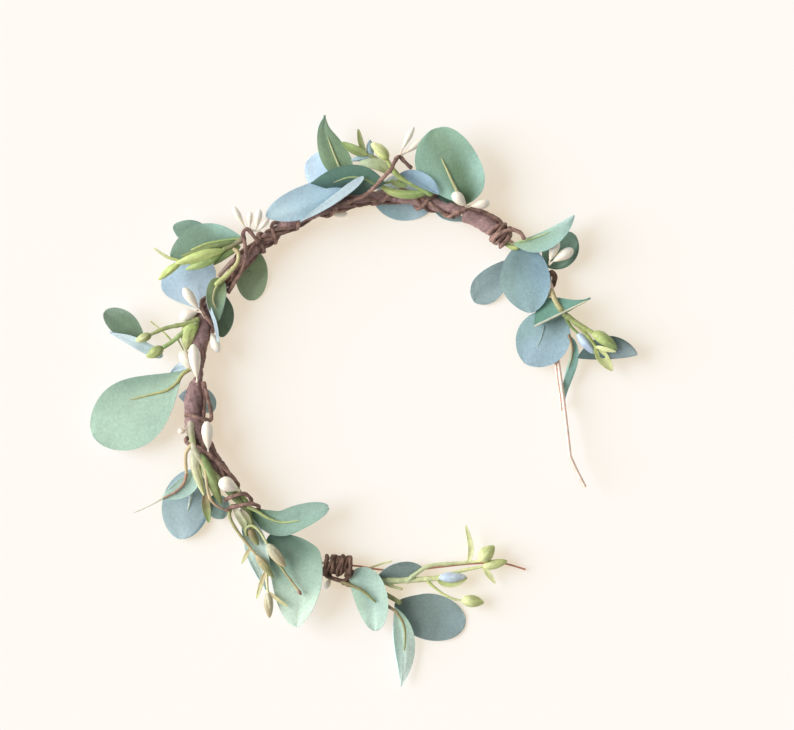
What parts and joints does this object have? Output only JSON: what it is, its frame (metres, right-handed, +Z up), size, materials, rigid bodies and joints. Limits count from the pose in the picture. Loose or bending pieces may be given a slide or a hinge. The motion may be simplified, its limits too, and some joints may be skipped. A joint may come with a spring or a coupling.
{
  "type": "flower crown",
  "caption": "Open hair crown: a bendable copper wire ring bound with brown floral tape and vine wire, dressed with moulded eucalyptus sprigs, cloth leaves and cream pips.",
  "frame": {"origin": "middle of the crown's outline as it lies flat, on the plane it lies on", "axes": "+Z up out of the plane the crown lies on, +Y towards the taped top of the ring, +X towards the copper wire end"},
  "size_m": [0.2568, 0.2682, 0.0224],
  "materials": {
    "copper_wire": "rose copper, drawn wire, slightly dulled",
    "floral_tape": "waxed crepe paper tape, mauve brown, matt",
    "vine_paper": "twisted brown paper over wire, rough",
    "sprig_plastic": "soft moulded plastic, lime to olive, painted",
    "pip_foam": "pearl lacquer over foam, cream",
    "leaf_green": "dyed felt-like cloth, sage green",
    "leaf_mint": "dyed felt-like cloth, pale mint",
    "leaf_teal": "dyed felt-like cloth, dark teal",
    "leaf_slate": "dyed felt-like cloth, slate blue green",
    "leaf_blue": "dyed felt-like cloth, powder blue leaf back"
  },
  "bodies": {
    "upper_arc": {"frame_wire_upper": "copper_wire", "tape_sleeve_right": "floral_tape", "tape_sleeve_top": "floral_tape", "tape_sleeve_left": "floral_tape", "vine_wire_upper": "vine_paper", "vine_wire_loop": "vine_paper", "sprig_stem_top": "sprig_plastic", "sprig_stem_upper_left": "sprig_plastic", "sprig_stem_left": "sprig_plastic", "pips_top_right": "pip_foam", "pips_top": "pip_foam", "pips_upper_left": "pip_foam", "pips_left_high": "pip_foam", "leaf_top_round": "leaf_green", "leaf_top_under": "leaf_blue", "leaf_top_pointed": "leaf_green", "leaf_top_pale": "leaf_blue", "leaf_top_arched": "leaf_green", "leaf_top_long": "leaf_blue", "leaf_upper_green": "leaf_green", "leaf_upper_back": "leaf_green", "leaf_upper_blue": "leaf_blue", "leaf_inner_green": "leaf_green", "leaf_hanging_green": "leaf_green", "leaf_hanging_back": "leaf_green", "leaf_left_folded": "leaf_green"},
    "lower_arc": {"frame_wire_lower": "copper_wire", "tape_sleeve_low": "floral_tape", "vine_wire_lower": "vine_paper", "sprig_stem_low": "sprig_plastic", "pips_left": "pip_foam", "pips_low_upper": "pip_foam", "pips_low": "pip_foam", "leaf_left_large": "leaf_mint", "leaf_left_under": "leaf_slate", "leaf_low_blue": "leaf_blue", "leaf_low_edge": "leaf_mint", "leaf_low_inner": "leaf_green", "leaf_low_large": "leaf_mint", "leaf_low_pale": "leaf_mint"},
    "right_end": {"frame_wire_right": "copper_wire", "coil_wire_right": "vine_paper", "sprig_stem_right": "sprig_plastic", "pips_right": "pip_foam", "leaf_right_crescent": "leaf_mint", "leaf_right_shaded": "leaf_green", "leaf_right_broad": "leaf_slate", "leaf_right_teal": "leaf_teal", "leaf_right_cupped": "leaf_green", "leaf_right_blue": "leaf_blue", "leaf_right_narrow": "leaf_green", "leaf_right_slate": "leaf_slate"},
    "wire_tail": {"frame_wire_tail": "copper_wire"},
    "lower_end": {"frame_wire_lower_end": "copper_wire", "coil_wire_lower_end": "vine_paper", "sprig_stem_lower_end": "sprig_plastic", "leaf_bottom_pale": "leaf_mint", "leaf_bottom_slate": "leaf_slate", "leaf_bottom_dark": "leaf_slate", "leaf_bottom_narrow": "leaf_mint"}
  },
  "joints": [
    {"name": "crown_spread", "type": "hinge", "parent": "upper_arc", "child": "lower_arc", "pos_m": [-0.07702, 0.01352, 0.0073], "axis": [0, 0, 1], "range_deg": [-8, 8]},
    {"name": "lower_end_bend", "type": "hinge", "parent": "lower_arc", "child": "lower_end", "pos_m": [-0.02122, -0.07548, 0.0068], "axis": [0, 0, 1], "range_deg": [-15, 15]},
    {"name": "right_end_bend", "type": "hinge", "parent": "upper_arc", "child": "right_end", "pos_m": [0.06978, 0.07482, 0.0073], "axis": [0, 0, 1], "range_deg": [-12, 12]},
    {"name": "wire_tail_bend", "type": "hinge", "parent": "right_end", "child": "wire_tail", "pos_m": [0.09658, -0.02548, 0.0113], "axis": [0, 0, 1], "range_deg": [-25, 60]}
  ]
}
